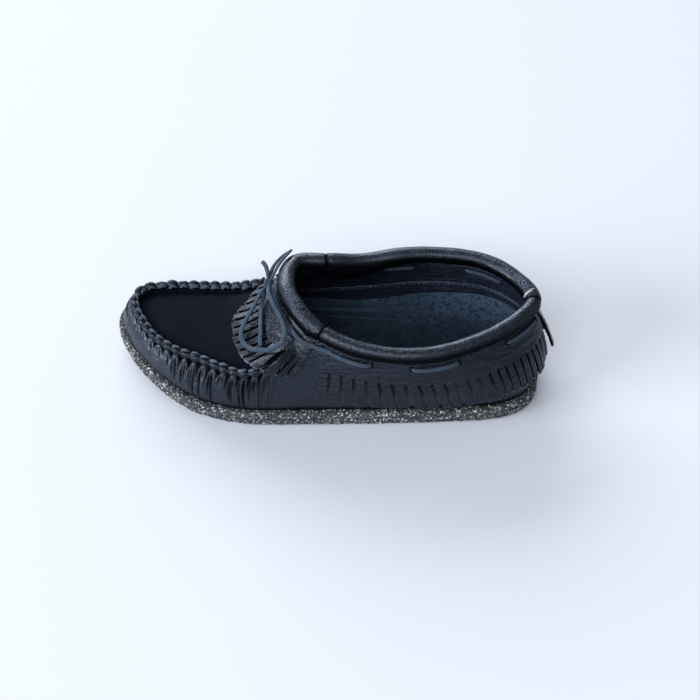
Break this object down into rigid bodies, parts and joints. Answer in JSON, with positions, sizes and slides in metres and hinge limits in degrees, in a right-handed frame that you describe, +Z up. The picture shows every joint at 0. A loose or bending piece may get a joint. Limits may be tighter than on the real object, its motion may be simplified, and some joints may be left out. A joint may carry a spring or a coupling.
{
  "type": "moccasin boot",
  "caption": "Low left moccasin boot in soft leather, with a raised toe seam, rolled collar, fringed cuff and front flap, lace bow and crumb rubber sole.",
  "frame": {"origin": "on the floor under the shoe, in the middle of its length, on the centre line of the ball and heel", "axes": "+X to the toe, +Y to the outer side of the foot, +Z up"},
  "size_m": [0.2857, 0.1035, 0.0823],
  "materials": {
    "sole": "matte crumb rubber with small pale and coloured specks",
    "suede": "matte blue-grey suede",
    "leather": "soft grained black leather, low gloss",
    "plug_leather": "smooth matte black leather",
    "collar_leather": "soft grained black leather, satin gloss",
    "lace": "flat blue-grey suede lace"
  },
  "bodies": {
    "root": {"outsole": "sole", "midsole": "sole", "insole": "suede", "upper": "leather", "plug": "plug_leather", "seam_thong": "leather", "collar_lateral": "collar_leather", "collar_front": "collar_leather", "collar_medial": "collar_leather", "kiltie": "leather", "cuff_lateral": "leather", "cuff_medial": "leather", "lace_lateral_front": "lace", "lace_lateral_middle": "lace", "lace_lateral_heel": "lace", "lace_medial_front": "lace", "lace_medial_middle": "lace", "lace_medial_heel": "lace", "lace_lateral_inside_front": "lace", "lace_lateral_inside_rear": "lace", "lace_medial_inside_front": "lace", "lace_medial_inside_rear": "lace", "lace_kiltie_lateral": "lace", "bow_knot": "lace", "bow_loop_lateral": "lace", "bow_loop_medial": "lace", "bow_tail_short": "lace", "bow_tail_long": "lace"}
  },
  "joints": []
}
